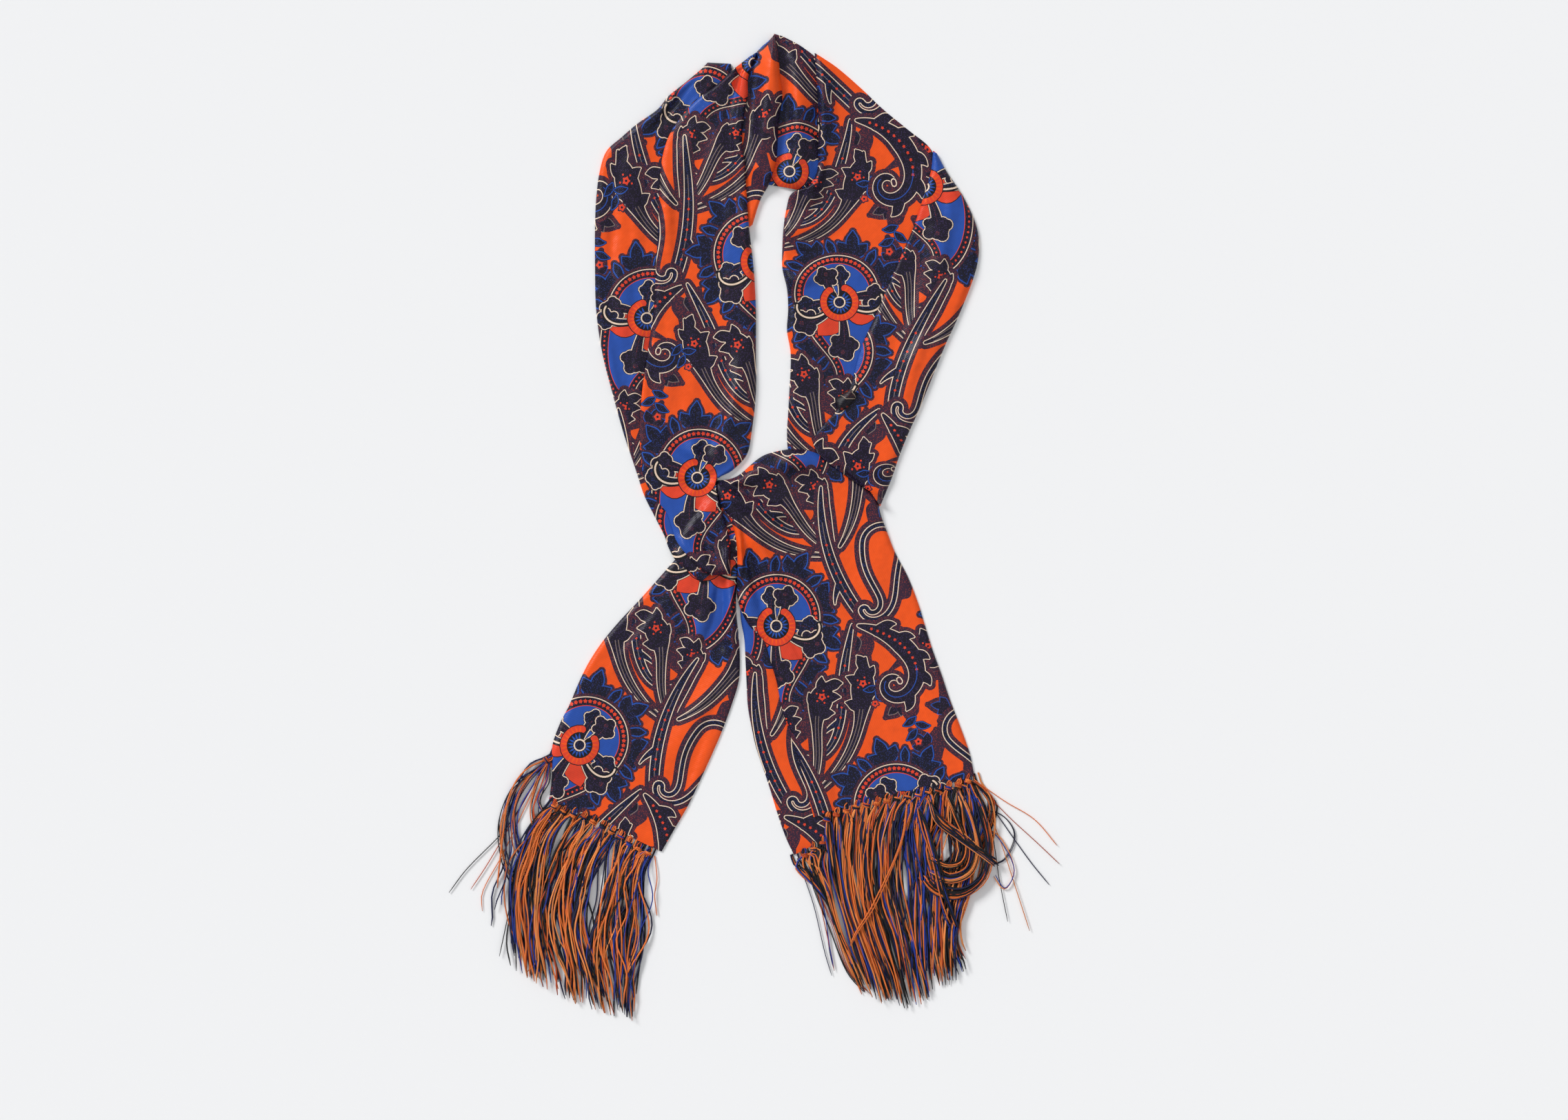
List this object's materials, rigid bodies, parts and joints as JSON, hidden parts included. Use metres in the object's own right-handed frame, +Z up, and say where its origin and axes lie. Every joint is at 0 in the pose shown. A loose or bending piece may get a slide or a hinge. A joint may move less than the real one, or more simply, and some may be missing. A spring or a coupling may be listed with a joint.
{
  "type": "fringed silk scarf laid out in a loop",
  "caption": "Long printed silk scarf with knotted fringe at both ends, folded lengthwise and laid out flat in a loop with its tails crossing below.",
  "frame": {"origin": "on the surface that the scarf lies on, under the middle of its footprint", "axes": "+Z up from the surface, +Y from the fringed tails towards the neck of the loop, +X to the right seen from above"},
  "size_m": [0.5314, 0.8498, 0.0127],
  "materials": {
    "silk_print": "satin silk twill, printed in orange, navy, plum and royal blue",
    "silk_back": "satin silk twill, the darker reverse of the print",
    "fringe_silk": "twisted silk yarn in copper orange, royal blue and navy"
  },
  "bodies": {
    "root": {"left_outer": "silk_print", "left_inner": "silk_print", "neck_pleat_left": "silk_print", "neck_pleat_right": "silk_print", "right_inner": "silk_print", "right_outer": "silk_print", "turned_corner": "silk_back", "right_tail": "silk_print", "right_tail_under": "silk_print", "tuck_pleat": "silk_print", "left_tail": "silk_print", "left_tail_under": "silk_print", "neck_folds": "silk_back", "crossing_folds": "silk_back", "left_fringe": "fringe_silk", "left_fringe_under": "fringe_silk", "right_fringe": "fringe_silk", "right_fringe_under": "fringe_silk"}
  },
  "joints": []
}
